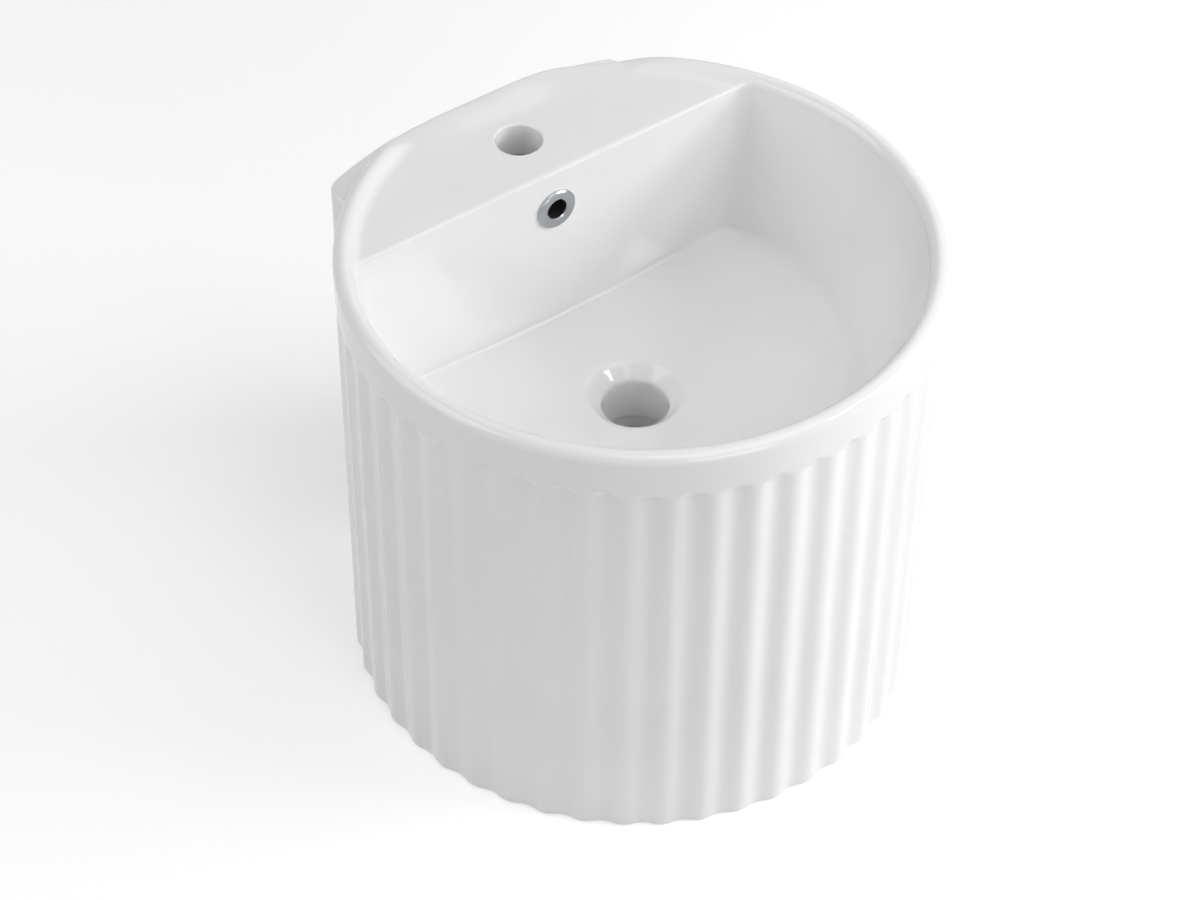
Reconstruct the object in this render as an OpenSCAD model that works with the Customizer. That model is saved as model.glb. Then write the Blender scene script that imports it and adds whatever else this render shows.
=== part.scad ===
// Round wall-hung washbasin with a fluted skirt, a tap ledge and a block that meets the wall.
// The origin lies on the wall face, on the centre line, midway between the two wall bolts.
// X runs to the right, Y runs into the wall and Z runs up, so the bowl stands at negative Y.

/* [Drum] */
// Diameter over the rim
drum_d = 400; // [370:1:440]
// Height from the standing edge to the top of the rim
drum_h = 350; // [320:1:420]
// Distance from the drum's axis to the wall face
axis_to_wall = 190; // [180:1:196]
// Thickness of the skirt
skirt_wall = 12; // [9:0.5:16]

/* [Rim and ledge] */
// Width of the rounded lip round the rim
lip_w = 13; // [11:0.5:18]
// Height of the plain band from the top of the lip to the tops of the flutes
band_h = 29; // [20:1:45]
// How far the tap ledge lies below the top of the lip
ledge_drop = 5; // [3:0.5:5.5]
// Distance from the drum's axis to the front edge of the ledge
ledge_front = 95; // [85:1:100]
// Thickness of the ledge
ledge_t = 12; // [9:0.5:16]
// Half of the width over which the lip has sunk into the ledge at the back
lip_gone_x = 58; // [40:1:70]
// Half of the width at which the lip starts to sink
lip_full_x = 108; // [90:1:125]

/* [Flutes] */
// Number of flutes round a full turn
flutes = 46; // [30:2:60]
// Depth of a flute
flute_depth = 2.4; // [1.5:0.1:4]
// How far the crests stand back from the plain band
crest_inset = 0.2; // [0.1:0.1:0.5]

/* [Bowl] */
// Depth from the top of the lip to the floor at the waste recess
bowl_depth = 137; // [115:1:150]
// How much higher the floor lies at its outer edge than at the recess
floor_rise = 9; // [4:0.5:12]
// Radius of the bowl where its side meets the round of the floor
foot_r = 161; // [150:1:168]
// Radius of the round between the side and the floor
foot_round = 22; // [12:1:30]
// Thickness of the bowl
bowl_wall = 10; // [8:0.5:12]

/* [Waste hole] */
// Diameter of the waste hole
waste_d = 46; // [42:0.5:50]
// Diameter of the recess round the waste hole
recess_d = 66; // [60:0.5:80]
// Depth of the recess below the floor
recess_depth = 10; // [6:0.5:14]
// Length of the straight bore under the recess
waste_bore = 34; // [28:1:45]
// Thickness of the boss round the bore
boss_wall = 11; // [8:0.5:15]
// How far the waste hole lies behind the drum's axis
waste_back = 3; // [0:0.5:8]

/* [Tap hole] */
// Diameter of the tap hole
tap_d = 32; // [28:0.5:34]
// Distance from the drum's axis to the centre of the tap hole
tap_back = 137; // [134:1:142]

/* [Overflow] */
// Depth of the overflow hole's centre below the top of the lip
overflow_drop = 36; // [36:1:60]
// Diameter of the overflow hole in the ceramic
overflow_d = 23; // [20:0.5:25]
// Inner width of the overflow channel
duct_w = 28; // [27:0.5:32]
// Inner depth of the overflow channel
duct_gap = 8; // [6:0.5:9]
// Thickness of the channel's outer wall
duct_wall = 5; // [4:0.5:6]
// Height of the slot through which the channel opens into the waste hole
duct_slot = 6; // [5:0.5:8]
// Outer diameter of the trim ring
ring_d = 30; // [28:0.5:34]
// Diameter of the opening in the trim ring
ring_hole_d = 15; // [10:0.5:15]
// How far the trim ring stands proud of the bowl's back wall
ring_t = 3; // [2:0.25:4]
// Thickness of the tube behind the trim ring
tube_t = 1.5; // [1:0.25:2]
// Clearance round the overflow sleeve, in its hole and round the ring's tube
sleeve_gap = 0.2; // [0.1:0.05:0.3]

/* [Wall block] */
// Width of the block that meets the wall
block_w = 242; // [225:1:260]
// Radius of the block's upright rear corners
block_round = 12; // [6:1:20]
// Depth of the block's outer shoulders below the top of the lip
shoulder_drop = 24; // [16:1:32]
// Thickness of the wall that lies against the building
back_wall = 14; // [11:0.5:16]
// Width of the arched notch for the waste pipe
notch_w = 130; // [90:1:140]
// Height of the notch above the standing edge
notch_h = 150; // [120:1:170]

/* [Wall fixings] */
// Distance between the two wall bolts
bolt_spacing = 150; // [140:1:165]
// Depth of the wall bolts below the top of the lip
bolt_drop = 110; // [95:1:125]
// Diameter of the wall bolts where they go into the wall
bolt_d = 10; // [8:0.5:12]
// How much the bolts' inner end, which takes the nut, stands back from the diameter on each side
thread_step = 0.4; // [0.25:0.05:0.6]
// Length of a bolt that goes into the wall
bolt_out = 50; // [40:1:60]
// Length of the bolt that shows past the nut
bolt_past_nut = 3; // [1:0.5:5]
// Clearance between the bolt and the pieces threaded over it
bolt_gap = 0.1; // [0.05:0.05:0.3]
// Outer diameter of the bush where it goes through the ceramic
bush_d = 18; // [16:0.5:20]
// Clearance between the bush and its hole in the ceramic
bush_gap = 0.25; // [0.1:0.05:0.5]
// Diameter of the bush's flange and of the soft washer under it
flange_d = 30; // [26:0.5:36]
// Thickness of the bush's flange
flange_t = 3; // [2:0.5:4]
// Thickness of the soft washer under the flange
soft_t = 2; // [1:0.5:3]
// Diameter of the steel washer
washer_d = 24; // [23:0.5:26]
// Thickness of the steel washer
washer_t = 2; // [1:0.25:3]
// Width of the nut across its flats
nut_flats = 16; // [15:0.5:16.5]
// Thickness of the nut
nut_t = 8; // [6:0.5:10]
// Wall thickness of the nut cap
cap_wall = 1.5; // [1:0.25:1.75]
// Clearance between the nut and its cap
cap_gap = 0.3; // [0.1:0.05:0.4]

/* [Hidden] */

past = 1;                                   // how far a cut runs past the face that it opens
round_steps = 8;                            // straight steps in a quarter of a round
flute_steps = 8;                            // straight steps in one flute
shoulder_power = 1.4;                       // how much later the shoulders start to fall
rim_r = drum_d / 2;
lip_r = lip_w / 2;
crest_r = rim_r - crest_inset;
mouth_r = rim_r - lip_w;                    // radius of the bowl just under the lip
skirt_in_r = rim_r - skirt_wall;
floor_z = -bowl_depth;                      // heights here are measured from the top of the lip
foot_z = floor_z + floor_rise;
bore_top_z = floor_z - recess_depth;
bore_end_z = bore_top_z - waste_bore;
boss_r = waste_d / 2 + boss_wall;
wall_in_y = axis_to_wall - back_wall;       // inner face of the wall that meets the building
ledge_under_z = -ledge_drop - ledge_t;
block_under_z = -shoulder_drop - ledge_t;
bowl_back_y = ledge_front + bowl_wall;      // rear face of the bowl's upright back wall
overflow_r = overflow_d / 2;
duct_top_z = -overflow_drop + overflow_r + 4;
duct_bend_z = bore_top_z - duct_gap - 4;    // floor of the channel where it turns forward
duct_slot_z = bore_end_z + duct_wall;       // floor of the channel where it opens into the waste hole
ring_hole_r = ring_hole_d / 2;
tube_r = ring_hole_r + tube_t;              // outside of the ring's tube
tube_len = bowl_wall * 0.6;
sleeve_r = overflow_r - sleeve_gap;
sleeve_front = 0.05;                        // the sleeve's mouth lies this far under the ring
barb_r = overflow_r + 0.8;                  // the sleeve snaps behind the wall with a low barb
barb_w = 1;
sleeve_past_barb = 2;
bolt_r = bolt_d / 2;
thread_r = bolt_r - thread_step;
bolt_hole_r = thread_r + bolt_gap;          // bore of each piece threaded over a bolt
ceramic_hole_r = bush_d / 2 + bush_gap;
flange_z = back_wall + soft_t;              // depths at the bolts are measured from the wall face
washer_z = flange_z + flange_t;
nut_z = washer_z + washer_t;
bolt_end_z = nut_z + nut_t + bolt_past_nut;
nut_r = nut_flats / 2 / cos(30);
cap_r = nut_r + cap_gap;
cap_len = nut_t + bolt_past_nut + cap_gap + cap_wall;

// Colours of the finished pieces
glaze = "white";
chrome = "silver";
dark_plastic = "black";
nylon = "ivory";
rubber = "dimgray";
zinc = "lightsteelblue";

// Puts a shape drawn from the drum's axis and the top of the lip into the part's frame
module from_drum() {
    translate([0, -axis_to_wall, bolt_drop]) children();
}

// Points on an arc about a centre, from one angle to another
function arc(cx, cy, r, from, to, steps = round_steps) =
    [for (i = [0 : steps]) let (a = from + (to - from) * i / steps) [cx + r * cos(a), cy + r * sin(a)]];

// Plan of the fluted skirt: a wave round the circle with a crest at the front
function flute_plan() =
    [for (i = [0 : flutes * flute_steps - 1])
        let (a = 360 * i / (flutes * flute_steps),
             r = crest_r - flute_depth * (1 - cos(flutes * (a + 90))) / 2)
        [r * cos(a), r * sin(a)]];

// Band and lip: a solid disc whose top falls from the lip to the level of the ledge
module band_and_lip() {
    ledge_angle = 180 - asin(1 - ledge_drop / lip_r);
    rotate_extrude($fn = 180)
        polygon(concat(
            [[0, -band_h], [rim_r, -band_h]],
            arc(rim_r - lip_r, -lip_r, lip_r, 0, 90),
            arc(rim_r - lip_r, -lip_r, lip_r, 90, ledge_angle),
            [[0, -ledge_drop]]));
}

// Space over the ledge, from which the lip is cut as it sinks towards the middle of the back
module sunk_lip() {
    translate([0, axis_to_wall + past, 0])
        rotate([90, 0, 0])
            linear_extrude(axis_to_wall + past - ledge_front)
                polygon([[-lip_full_x, 0], [-lip_gone_x, -ledge_drop], [lip_gone_x, -ledge_drop],
                         [lip_full_x, 0], [lip_full_x, past], [-lip_full_x, past]]);
}

module fluted_skirt() {
    translate([0, 0, -drum_h])
        linear_extrude(drum_h - band_h) polygon(flute_plan());
}

// Upper edge of the block from its middle out to one side, falling ever more steeply
function shoulder_line(side) =
    [for (i = [0 : round_steps])
        let (t = i / round_steps,
             x = lip_gone_x + (block_w / 2 + past - lip_gone_x) * t,
             z = -ledge_drop - past - (shoulder_drop - ledge_drop - past) * pow(t, shoulder_power))
        [side * x, z]];

// Block behind the drum: a plan with round corners under shoulders that rise to the ledge
module wall_block() {
    half_w = block_w / 2;
    corner_x = half_w - block_round;
    corner_y = axis_to_wall - block_round;
    intersection() {
        translate([0, 0, -drum_h])
            linear_extrude(drum_h)
                polygon(concat([[half_w, 0]],
                               arc(corner_x, corner_y, block_round, 0, 90),
                               arc(-corner_x, corner_y, block_round, 90, 180),
                               [[-half_w, 0]]));
        translate([0, axis_to_wall + past, 0])
            rotate([90, 0, 0])
                linear_extrude(axis_to_wall + 2 * past)
                    polygon(concat([for (i = [round_steps : -1 : 0]) shoulder_line(-1)[i]],
                                   shoulder_line(1),
                                   [[half_w + past, -drum_h - past], [-half_w - past, -drum_h - past]]));
    }
}

// Everything in front of an upright plane across the drum, between two heights
module in_front_of(y, top, bottom) {
    translate([-drum_d, -drum_d, bottom]) cube([2 * drum_d, drum_d + y, top - bottom]);
}

// The bowl's hollow, or the same form grown by a wall on its sides, back and floor
module bowl_form(wall, top) {
    side_top_z = -lip_r - past;
    lean = atan((mouth_r - foot_r) / (side_top_z - foot_z - foot_round));
    intersection() {
        rotate_extrude($fn = 180)
            polygon(concat(
                [[0, floor_z - wall], [recess_d / 2, floor_z - wall]],
                arc(foot_r - foot_round, foot_z + foot_round, foot_round + wall, -90, -lean),
                [[mouth_r + wall, side_top_z], [mouth_r + wall, top], [0, top]]));
        in_front_of(ledge_front + wall, top + past, floor_z - wall - past);
    }
}

// Overflow channel: down behind the bowl, then forward and down to the foot of the waste hole
module duct_form(wall, top) {
    half = duct_w / 2 + wall;
    front_y = bowl_back_y - past;
    rear_y = bowl_back_y + duct_gap + wall;
    boss_y = waste_back + boss_r;
    translate([-half, 0, 0])
        rotate([90, 0, 90])
            linear_extrude(2 * half)
                polygon([[front_y, top], [rear_y, top], [rear_y, duct_bend_z - wall],
                         [boss_y, duct_slot_z - wall], [waste_back, duct_slot_z - wall],
                         [waste_back, duct_slot_z + duct_slot + wall],
                         [boss_y, duct_slot_z + duct_slot + wall],
                         [front_y, duct_bend_z + duct_gap + wall]]);
}

// The open space under the bowl and the ledge, for the trap, the tap's hoses and the fixings
module underside() {
    low = -drum_h - past;
    intersection() {
        translate([0, 0, low]) cylinder(r = skirt_in_r, h = ledge_under_z - low, $fn = 180);
        in_front_of(wall_in_y, 0, low - past);
    }
    translate([-block_w / 2 + skirt_wall, 0, low])
        cube([block_w - 2 * skirt_wall, wall_in_y, block_under_z - low]);
}

module pipe_notch() {
    spring_z = -drum_h + notch_h - notch_w / 2;
    depth = back_wall + 2 * past;
    translate([-notch_w / 2, wall_in_y - past, -drum_h - past])
        cube([notch_w, depth, spring_z + drum_h + past]);
    translate([0, wall_in_y - past, spring_z])
        rotate([-90, 0, 0]) cylinder(d = notch_w, h = depth, $fn = 120);
}

module waste_hole() {
    translate([0, waste_back, bore_end_z - past]) cylinder(d = waste_d, h = waste_bore + 2 * past, $fn = 96);
    translate([0, waste_back, bore_top_z])
        cylinder(d1 = waste_d, d2 = recess_d, h = recess_depth, $fn = 96);
    translate([0, waste_back, floor_z]) cylinder(d = recess_d, h = past, $fn = 96);
}

module tap_hole() {
    translate([0, tap_back, ledge_under_z - past]) cylinder(d = tap_d, h = ledge_t + 2 * past, $fn = 96);
}

module overflow_hole() {
    translate([0, ledge_front - past, -overflow_drop])
        rotate([-90, 0, 0]) cylinder(d = overflow_d, h = bowl_wall + 2 * past, $fn = 96);
}

// Walls of the bowl, of the channel and of the boss, which hang in the open space below
module walls_below() {
    bowl_form(bowl_wall, 0);
    duct_form(duct_wall, ledge_under_z + past);
    translate([0, waste_back, bore_end_z]) cylinder(r = boss_r, h = floor_z - bore_end_z, $fn = 96);
}

// Places one shape at each wall bolt, with Z of the shape pointing away from the wall
module at_bolts() {
    for (side = [-1, 1])
        translate([side * bolt_spacing / 2, 0, 0]) rotate([90, 0, 0]) children();
}

module basin_body() {
    color(glaze) difference() {
        from_drum() difference() {
            intersection() {
                union() {
                    fluted_skirt();
                    band_and_lip();
                    wall_block();
                }
                in_front_of(axis_to_wall, past, -drum_h - past);
            }
            sunk_lip();
            difference() {
                underside();
                walls_below();
            }
            bowl_form(0, past);
            duct_form(0, duct_top_z);
            pipe_notch();
            waste_hole();
            tap_hole();
            overflow_hole();
        }
        at_bolts() translate([0, 0, -past]) cylinder(r = ceramic_hole_r, h = back_wall + 2 * past, $fn = 72);
    }
}

// Places a turned overflow piece, with Z of the piece pointing out into the bowl
module at_overflow() {
    from_drum() translate([0, ledge_front, -overflow_drop]) rotate([90, 0, 0]) children();
}

module overflow_trim_ring() {
    out_r = ring_d / 2;
    color(chrome) at_overflow() rotate_extrude($fn = 120)
        polygon([[ring_hole_r, -tube_len], [tube_r, -tube_len], [tube_r, 0], [out_r, 0],
                 [out_r, ring_t * 0.25], [out_r - ring_t * 0.5, ring_t * 0.75], [out_r - ring_t, ring_t],
                 [ring_hole_r + ring_t * 0.7, ring_t], [ring_hole_r, ring_t * 0.4]]);
}

module overflow_sleeve() {
    inner_r = tube_r + sleeve_gap;
    barb_z = -bowl_wall - sleeve_gap;
    end_z = barb_z - barb_w - sleeve_past_barb;
    color(dark_plastic) at_overflow() rotate_extrude($fn = 120)
        polygon([[inner_r, end_z], [sleeve_r, end_z], [barb_r, barb_z - barb_w], [barb_r, barb_z],
                 [sleeve_r, barb_z], [sleeve_r, -sleeve_front], [inner_r, -sleeve_front]]);
}

// Pointed screw end that goes into the wall, and a thinner end for bush, washer and nut
module wall_bolts() {
    point_len = bolt_d * 0.8;
    color(zinc) at_bolts() {
        translate([0, 0, -past]) cylinder(r = thread_r, h = bolt_end_z + past, $fn = 48);
        translate([0, 0, point_len - bolt_out]) cylinder(r = bolt_r, h = bolt_out - point_len, $fn = 48);
        translate([0, 0, -bolt_out]) cylinder(r1 = bolt_r * 0.2, r2 = bolt_r, h = point_len, $fn = 48);
    }
}

// A piece threaded over the bolt, from one depth to another, with its bore cut through it
module on_bolt(from, to) {
    difference() {
        children();
        translate([0, 0, from - past]) cylinder(r = bolt_hole_r, h = to - from + 2 * past, $fn = 48);
    }
}

module bolt_bushes() {
    color(nylon) at_bolts() on_bolt(0, washer_z) union() {
        cylinder(d = bush_d, h = flange_z + flange_t / 2, $fn = 72);
        translate([0, 0, flange_z]) cylinder(d = flange_d, h = flange_t, $fn = 72);
    }
}

module soft_washers() {
    color(rubber) at_bolts() translate([0, 0, back_wall]) difference() {
        cylinder(d = flange_d, h = soft_t, $fn = 72);
        translate([0, 0, -past]) cylinder(r = ceramic_hole_r, h = soft_t + 2 * past, $fn = 72);
    }
}

module steel_washers() {
    color(zinc) at_bolts() on_bolt(washer_z, nut_z)
        translate([0, 0, washer_z]) cylinder(d = washer_d, h = washer_t, $fn = 72);
}

module hex_nuts() {
    color(zinc) at_bolts() on_bolt(nut_z, nut_z + nut_t)
        translate([0, 0, nut_z]) cylinder(r = nut_r, h = nut_t, $fn = 6);
}

module nut_caps() {
    color(nylon) at_bolts() translate([0, 0, nut_z]) rotate_extrude($fn = 72)
        polygon([[cap_r, 0], [cap_r + cap_wall, 0], [cap_r + cap_wall, cap_len - cap_wall],
                 [cap_r, cap_len], [0, cap_len], [0, cap_len - cap_wall],
                 [cap_r - cap_wall, cap_len - cap_wall], [cap_r, cap_len - 2 * cap_wall]]);
}

basin_body();
overflow_trim_ring();
overflow_sleeve();
wall_bolts();
bolt_bushes();
soft_washers();
steel_washers();
hex_nuts();
nut_caps();
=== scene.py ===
import math
import bpy
import bmesh
import numpy as np
from mathutils import Matrix, Vector


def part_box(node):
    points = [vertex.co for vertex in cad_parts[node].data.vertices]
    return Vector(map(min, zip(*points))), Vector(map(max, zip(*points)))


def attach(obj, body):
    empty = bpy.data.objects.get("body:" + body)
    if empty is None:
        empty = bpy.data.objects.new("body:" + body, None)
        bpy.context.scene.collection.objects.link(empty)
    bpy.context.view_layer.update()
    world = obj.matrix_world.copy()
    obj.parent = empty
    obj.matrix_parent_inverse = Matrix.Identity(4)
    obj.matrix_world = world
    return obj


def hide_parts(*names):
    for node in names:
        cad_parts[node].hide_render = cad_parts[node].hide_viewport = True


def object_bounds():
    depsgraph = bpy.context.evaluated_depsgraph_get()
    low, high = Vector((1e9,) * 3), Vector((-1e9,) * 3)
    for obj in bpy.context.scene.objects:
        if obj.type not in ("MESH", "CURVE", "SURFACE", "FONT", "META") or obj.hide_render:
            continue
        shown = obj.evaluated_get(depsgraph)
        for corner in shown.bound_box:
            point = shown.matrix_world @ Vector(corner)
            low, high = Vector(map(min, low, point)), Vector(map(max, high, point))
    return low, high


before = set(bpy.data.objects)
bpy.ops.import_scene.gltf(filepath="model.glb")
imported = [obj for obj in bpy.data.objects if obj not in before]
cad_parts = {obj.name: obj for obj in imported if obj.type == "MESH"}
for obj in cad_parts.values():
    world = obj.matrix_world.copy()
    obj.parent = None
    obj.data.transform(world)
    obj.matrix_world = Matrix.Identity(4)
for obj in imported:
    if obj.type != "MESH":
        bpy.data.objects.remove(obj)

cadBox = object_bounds()
bodyLow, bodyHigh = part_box("basin_body")
mm = 0.001
rimRadius = (bodyHigh.x - bodyLow.x) / 2 / mm
drumHeight = (bodyHigh.z - bodyLow.z) / mm
wallAt = (bodyHigh.y - bodyLow.y) / mm - rimRadius     # drum axis to wall face, in mm
drumOrigin = Vector((0, bodyLow.y + rimRadius * mm, bodyHigh.z))     # drum axis at the height of the rim


# Shader maths: a socket that adds nodes when it is used in an expression

class Wire:
    def __init__(self, tree, socket=None):
        self.tree = tree
        self.socket = socket

    def add(self, kind, settings=None, sockets=None, out=0):     # settings first, then values or links
        node = self.tree.nodes.new(kind)
        for name, value in (settings or {}).items():
            setattr(node, name, value)
        for key, value in (sockets or {}).items():
            if isinstance(value, Wire):
                self.tree.links.new(value.socket, node.inputs[key])
            else:
                node.inputs[key].default_value = value
        return Wire(self.tree, node.outputs[out] if node.outputs else None)

    def maths(self, operation, *values):
        return self.add("ShaderNodeMath", {"operation": operation}, dict(enumerate(values)))

    def __add__(self, other):
        return self.maths("ADD", self, other)

    def __radd__(self, other):
        return self.maths("ADD", other, self)

    def __sub__(self, other):
        return self.maths("SUBTRACT", self, other)

    def __rsub__(self, other):
        return self.maths("SUBTRACT", other, self)

    def __mul__(self, other):
        return self.maths("MULTIPLY", self, other)

    def __rmul__(self, other):
        return self.maths("MULTIPLY", other, self)

    def between(self, low, high):     # 0 below low, 1 above high, soft in between
        return self.add("ShaderNodeMapRange", {"interpolation_type": "SMOOTHSTEP"},
                        {"Value": self, "From Min": low, "From Max": high})

    def noise(self, scale, detail, rough=0.5, stretch=None):
        where = self.add("ShaderNodeTexCoord", out="Object")
        if stretch:
            where = self.add("ShaderNodeVectorMath", {"operation": "MULTIPLY"}, {0: where, 1: stretch})
        return self.add("ShaderNodeTexNoise", {},
                        {"Vector": where, "Scale": scale, "Detail": detail, "Roughness": rough}, "Fac")

    def blend(self, factor, low, high):     # colours or wires that carry them
        return self.add("ShaderNodeMix", {"data_type": "RGBA"}, {"Factor": factor, 6: low, 7: high}, 2)

    def tint(self, factor, low, high):     # one plain colour fading into another
        return self.blend(factor, (*low, 1), (*high, 1))

    def bump(self, height, distance, strength):
        return self.add("ShaderNodeBump", {},
                        {"Strength": strength, "Distance": distance, "Height": height})

    def surface(self, **sockets):
        return self.add("ShaderNodeBsdfPrincipled", {},
                        {name.replace("_", " "): value for name, value in sockets.items()})

    def finish(self, shader):
        self.add("ShaderNodeOutputMaterial", {}, {"Surface": shader})


def newFinish(name):
    material = bpy.data.materials.new(name)
    material.use_nodes = True
    material.node_tree.nodes.clear()
    return material, Wire(material.node_tree)


glaze = {
    "thin": (0.885, 0.888, 0.885),     # where the glaze lies thinner over the clay
    "thick": (0.915, 0.918, 0.915),
    "bareClayAndTubeShade": (0.80, 0.785, 0.745),     # fired clay on the ground edge and wall face
    "gloss": 0.025,
    "glossCloud": 0.02,     # how much duller the cloudy spots are
    "bareClayAndShadeRough": 0.62,
    "bareClayAndShadeDepth": 0.0006,     # metres from a ground face within which no glaze sits
    "bareGrain": 0.94,     # how dark the grain of the fired clay gets
    "cloud": (9.0, 3.0),     # noise scale and detail
    "speck": (900.0, 2.0),
    "wave": (28.0, 1.0),     # slow unevenness of a dipped glaze
    "peel": (420.0, 1.0),     # fine orange peel
    "peelShare": 0.02, "speckShare": 0.25,     # beside the wave
    "bump": (0.00015, 0.3),     # depth in metres and strength
}


def glazeFinish():
    material, w = newFinish("glossyGlaze")
    place = w.add("ShaderNodeNewGeometry", out="Position")
    y = w.add("ShaderNodeSeparateXYZ", {}, {0: place}, "Y")
    z = w.add("ShaderNodeSeparateXYZ", {}, {0: place}, "Z")
    bareWall = y.between(bodyHigh.y - glaze["bareClayAndShadeDepth"], bodyHigh.y - glaze["bareClayAndShadeDepth"] * 0.3)
    bareEdge = 1 - z.between(bodyLow.z + glaze["bareClayAndShadeDepth"] * 0.3, bodyLow.z + glaze["bareClayAndShadeDepth"])
    bareClayAndTubeShade = w.maths("MAXIMUM", bareWall, bareEdge)
    cloud = w.noise(*glaze["cloud"])
    speck = w.noise(*glaze["speck"])
    coat = w.tint(cloud.between(0.3, 0.7), glaze["thin"], glaze["thick"])
    darkClay = tuple(glaze["bareGrain"] * c for c in glaze["bareClayAndTubeShade"])
    grain = w.tint(speck.between(0.3, 0.8), darkClay, glaze["bareClayAndTubeShade"])
    rough = glaze["gloss"] + glaze["glossCloud"] * cloud + bareClayAndTubeShade * glaze["bareClayAndShadeRough"]
    wave = w.noise(*glaze["wave"])
    peel = w.noise(*glaze["peel"])
    height = wave + glaze["peelShare"] * peel + bareClayAndTubeShade * speck * glaze["speckShare"]
    w.finish(w.surface(Base_Color=w.blend(bareClayAndTubeShade, coat, grain), Roughness=rough, IOR=1.5,
                       Normal=w.bump(height, *glaze["bump"])))
    return material


ringLow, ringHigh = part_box("overflow_trim_ring")
ringHeight = (ringLow.z + ringHigh.z) / 2
chrome = {
    "bright": (0.50, 0.51, 0.53), "dull": (0.45, 0.46, 0.48), "rough": 0.10, "roughCloud": 0.05,
    "cloud": (160.0, 3.0), "speck": (2600.0, 1.0), "bump": (0.00002, 0.3),
    "bareClayAndTubeShade": (0.015, 0.015, 0.016),     # painted shade: near-black colour for the shade inside the tube
    "bareClayAndShadeRough": 0.4,
    "shadeRadius": 0.0081,     # metres from the ring's axis within which the painted shade lies
    "bareClayAndShadeDepth": 0.0009,     # metres behind the ring's face where that starts
    "fade": 0.0001,
}


def chromeFinish():
    material, w = newFinish("brightChrome")
    cloud = w.noise(*chrome["cloud"])
    speck = w.noise(*chrome["speck"])
    place = w.add("ShaderNodeNewGeometry", out="Position")
    fromAxis = w.add("ShaderNodeVectorMath", {"operation": "SUBTRACT"}, {0: place, 1: (0, 0, ringHeight)})
    flat = w.add("ShaderNodeVectorMath", {"operation": "MULTIPLY"}, {0: fromAxis, 1: (1, 0, 1)})
    radius = w.add("ShaderNodeVectorMath", {"operation": "LENGTH"}, {0: flat}, "Value")
    depth = w.add("ShaderNodeSeparateXYZ", {}, {0: place}, "Y")
    fade = chrome["fade"]
    shadeFrom = ringLow.y + chrome["bareClayAndShadeDepth"]
    within = 1 - radius.between(chrome["shadeRadius"] - fade, chrome["shadeRadius"] + fade)
    # inside the tube the chrome gives way to near-black painted shade, dull and not metallic
    inside = within * depth.between(shadeFrom - fade, shadeFrom + fade)
    plated = w.tint(cloud, chrome["dull"], chrome["bright"])
    rough = chrome["rough"] + chrome["roughCloud"] * cloud + chrome["bareClayAndShadeRough"] * inside
    w.finish(w.surface(Base_Color=w.blend(inside, plated, (*chrome["bareClayAndTubeShade"], 1)), Metallic=1 - inside,
                       Roughness=rough, Normal=w.bump(speck, *chrome["bump"])))
    return material


darkPlastic = {
    "low": (0.012, 0.012, 0.013), "high": (0.03, 0.03, 0.032), "rough": 0.42, "roughGrain": 0.1,
    "cloud": (300.0, 2.0), "grain": (4200.0, 2.0), "bump": (0.00004, 0.5),
}
nylon = {
    "low": (0.74, 0.725, 0.66), "high": (0.82, 0.805, 0.75), "rough": 0.38, "roughGrain": 0.12,
    "cloud": (130.0, 2.0), "grain": (2400.0, 2.0), "bump": (0.00004, 0.5),
}
capPlastic = {
    "low": (0.83, 0.83, 0.82), "high": (0.89, 0.89, 0.88), "rough": 0.22, "roughGrain": 0.08,
    "cloud": (110.0, 2.0), "grain": (1900.0, 1.0), "bump": (0.00003, 0.4),
}


def mouldedFinish(name, look):     # moulded plastic: slightly cloudy colour under a fine grain
    material, w = newFinish(name)
    cloud = w.noise(*look["cloud"])
    grain = w.noise(*look["grain"])
    w.finish(w.surface(Base_Color=w.tint(cloud, look["low"], look["high"]),
                       Roughness=look["rough"] + look["roughGrain"] * grain,
                       Normal=w.bump(grain, *look["bump"])))
    return material


zinc = {
    "low": (0.55, 0.56, 0.57), "high": (0.70, 0.71, 0.72), "rough": 0.28, "roughSpangle": 0.18,
    "spangle": (220.0, 4.0, 0.7),
    "lines": (700.0, 2.0, 0.5, (1, 0.08, 1)),     # drawn out along the bolt
    "bump": (0.00004, 0.5),
}


def zincFinish():
    material, w = newFinish("zincPlatedSteel")
    spangle = w.noise(*zinc["spangle"])
    lines = w.noise(*zinc["lines"])
    w.finish(w.surface(Base_Color=w.tint(spangle.between(0.3, 0.7), zinc["low"], zinc["high"]),
                       Metallic=1.0, Roughness=zinc["rough"] + zinc["roughSpangle"] * spangle,
                       Normal=w.bump(lines, *zinc["bump"])))
    return material


rubber = {
    "low": (0.028, 0.028, 0.030), "high": (0.06, 0.06, 0.062), "rough": 0.72, "roughGrain": 0.15,
    "dust": (260.0, 4.0, 0.65), "grain": (3000.0, 3.0), "bump": (0.00008, 0.6),
}


def rubberFinish():
    material, w = newFinish("softRubber")
    dust = w.noise(*rubber["dust"])
    grain = w.noise(*rubber["grain"])
    w.finish(w.surface(Base_Color=w.tint(dust.between(0.4, 0.8), rubber["low"], rubber["high"]),
                       Roughness=rubber["rough"] + rubber["roughGrain"] * grain,
                       Normal=w.bump(grain, *rubber["bump"])))
    return material


# Mesh helpers

def newObject(name, verts, faces, material):
    mesh = bpy.data.meshes.new(name)
    mesh.from_pydata([tuple(v) for v in verts], [], [tuple(int(i) for i in f) for f in faces])
    mesh.materials.append(material)
    piece = bpy.data.objects.new(name, mesh)
    bpy.context.scene.collection.objects.link(piece)
    return piece


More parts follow.
